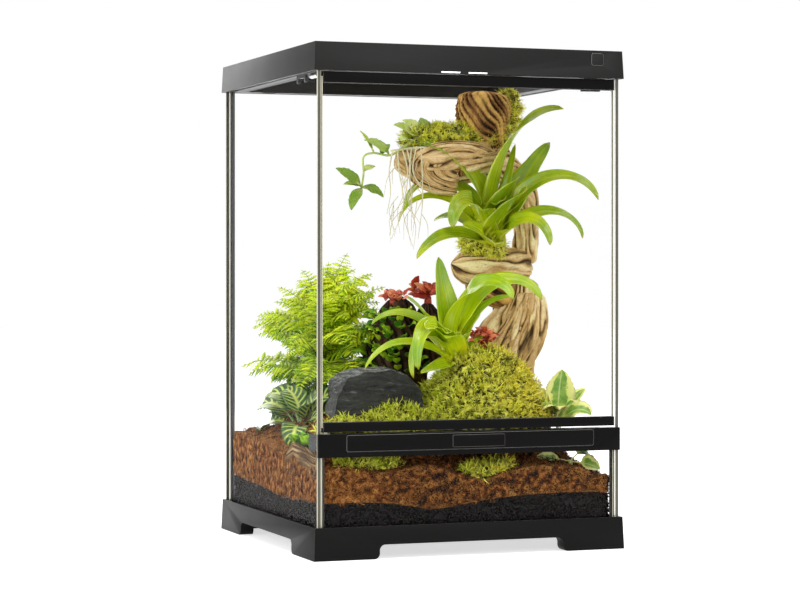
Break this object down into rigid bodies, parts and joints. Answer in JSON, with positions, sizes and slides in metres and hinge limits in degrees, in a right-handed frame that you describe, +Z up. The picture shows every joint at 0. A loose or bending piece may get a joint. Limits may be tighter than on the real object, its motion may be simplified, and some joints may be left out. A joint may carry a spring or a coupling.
{
  "type": "terrarium",
  "caption": "Planted glass terrarium with a hinged front door, push-button latch, lift-out screen top, front bar, footed base and a landscape of driftwood, rock, moss and leafy plants",
  "frame": {"origin": "middle of the underside, on the surface that the feet stand on", "axes": "+X to the viewer's right as the door is faced, +Y to the back, +Z up"},
  "size_m": [0.315, 0.315, 0.481],
  "materials": {
    "black_plastic": "moulded satin black plastic",
    "panel_plastic": "smooth satin black plastic",
    "clear_glass": "clear float glass with polished edges",
    "silicone": "black silicone",
    "ivory_plastic": "self-lubricating bearing plastic",
    "bright_metal": "bright plated metal",
    "steel": "drawn steel",
    "mesh_metal": "black coated wire mesh",
    "granules": "dark fired clay granules",
    "coir": "loose coconut fibre",
    "slate": "split grey slate",
    "cork": "crinkled light bark",
    "dark_bark": "dark damp bark and earth",
    "driftwood": "grooved weathered wood",
    "moss": "live moss",
    "bright_leaf": "glossy strap leaves",
    "fern_leaf": "thin fern fronds",
    "dark_leaf": "veined dark leaves",
    "pale_leaf": "cream-edged leaves",
    "root": "pale thin roots",
    "red_leaf": "small red leaves"
  },
  "bodies": {
    "cabinet": {"base_frame": "black_plastic", "bottom_pane": "clear_glass", "left_pane": "clear_glass", "right_pane": "clear_glass", "back_pane": "clear_glass", "lower_front_pane": "clear_glass", "silicone_seams": "silicone", "front_bar": "black_plastic", "bar_panel": "panel_plastic", "badge_plate": "panel_plastic", "vent_strip": "mesh_metal", "lower_hinge_bush": "ivory_plastic", "hood_frame": "black_plastic", "magnet_plates": "bright_metal", "hanging_clip": "black_plastic", "hinge_stay": "steel", "upper_hinge_bush": "ivory_plastic", "latch_pin": "steel", "button_spring": "steel", "drainage_layer": "granules", "substrate": "coir", "slate_rock": "slate", "bark_stump": "cork", "bark_mound": "dark_bark", "driftwood": "driftwood", "ground_moss": "moss", "wood_moss": "moss", "fern": "fern_leaf", "upper_bromeliad": "bright_leaf", "lower_bromeliad": "bright_leaf", "climbing_vine": "fern_leaf", "aerial_roots": "root", "left_foliage": "dark_leaf", "creeping_greens": "fern_leaf", "variegated_plant": "pale_leaf", "red_plants": "red_leaf"},
    "door": {"door_pane": "clear_glass", "door_top_rail": "panel_plastic", "door_bottom_rail": "panel_plastic", "door_strike": "black_plastic", "upper_pivot_pin": "steel", "lower_pivot_pin": "steel"},
    "button": {"release_button": "black_plastic"},
    "latch": {"latch_lever": "steel"},
    "screen": {"screen_frame": "black_plastic", "mesh_long_wires": "mesh_metal", "mesh_cross_wires": "mesh_metal", "screen_clips": "black_plastic"},
    "left_gate": {"left_inlet_gate": "black_plastic"},
    "right_gate": {"right_inlet_gate": "black_plastic"}
  },
  "joints": [
    {"name": "door_swing", "type": "hinge", "parent": "cabinet", "child": "door", "pos_m": [-0.144, -0.1505, 0.285], "axis": [0, 0, -1], "range_deg": [0, 105]},
    {"name": "button_press", "type": "slide", "parent": "cabinet", "child": "button", "axis": [0, 1, 0], "range_m": [0, 0.0025], "stiffness_N_per_m": 300, "springref_m": -0.002, "deforming": ["button_spring"]},
    {"name": "latch_turn", "type": "hinge", "parent": "cabinet", "child": "latch", "pos_m": [0.1296, -0.126, 0.46], "axis": [-1, 0, 0], "range_deg": [0, 12.6]},
    {"name": "screen_lift", "type": "slide", "parent": "cabinet", "child": "screen", "axis": [0, 0, 1], "range_m": [0, 0.06]},
    {"name": "left_gate_slide", "type": "slide", "parent": "cabinet", "child": "left_gate", "axis": [1, 0, 0], "range_m": [0, 0.015]},
    {"name": "right_gate_slide", "type": "slide", "parent": "cabinet", "child": "right_gate", "axis": [-1, 0, 0], "range_m": [0, 0.015]}
  ],
  "couplings": [
    {"joint": "latch_turn", "follows": "button_press", "rad_per_m": 84}
  ]
}
